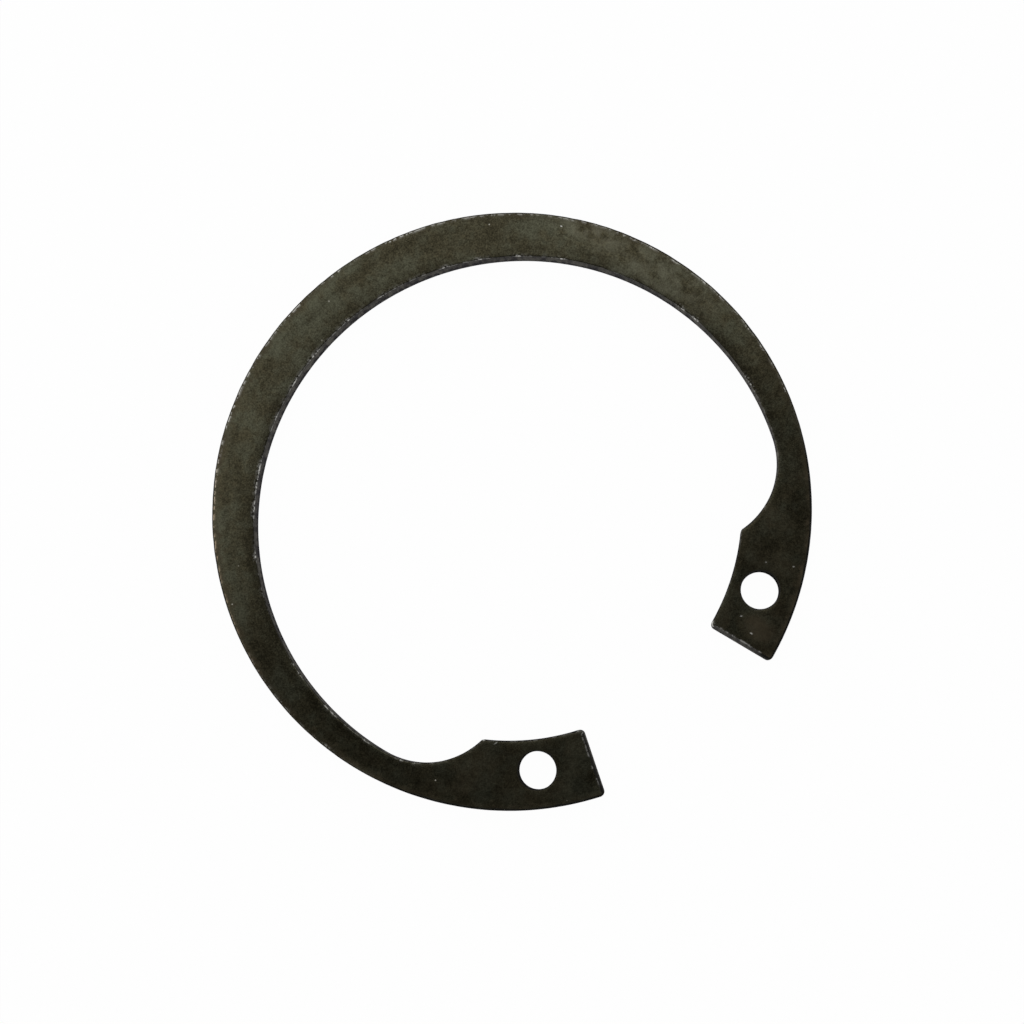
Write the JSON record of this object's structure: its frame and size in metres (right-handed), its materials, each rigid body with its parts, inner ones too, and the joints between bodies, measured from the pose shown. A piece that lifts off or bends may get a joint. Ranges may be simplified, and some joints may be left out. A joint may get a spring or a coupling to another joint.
{
  "type": "internal retaining ring",
  "caption": "Flat open spring-steel ring with a tapered beam and eyed lugs, sprung into a groove in a bore to hold a bearing or shaft endwise.",
  "frame": {"origin": "on the ring's axis, in the plane of the lower face", "axes": "+Z along the ring's axis, out of the upper face; +X from the axis to the middle of the opening between the lugs"},
  "size_m": [0.0544, 0.0562, 0.002],
  "materials": {
    "blackened_steel": "phosphated and oiled, satin, near black with an olive tint and worn bright edges"
  },
  "bodies": {
    "root": {"retaining_ring": "blackened_steel"}
  },
  "joints": []
}
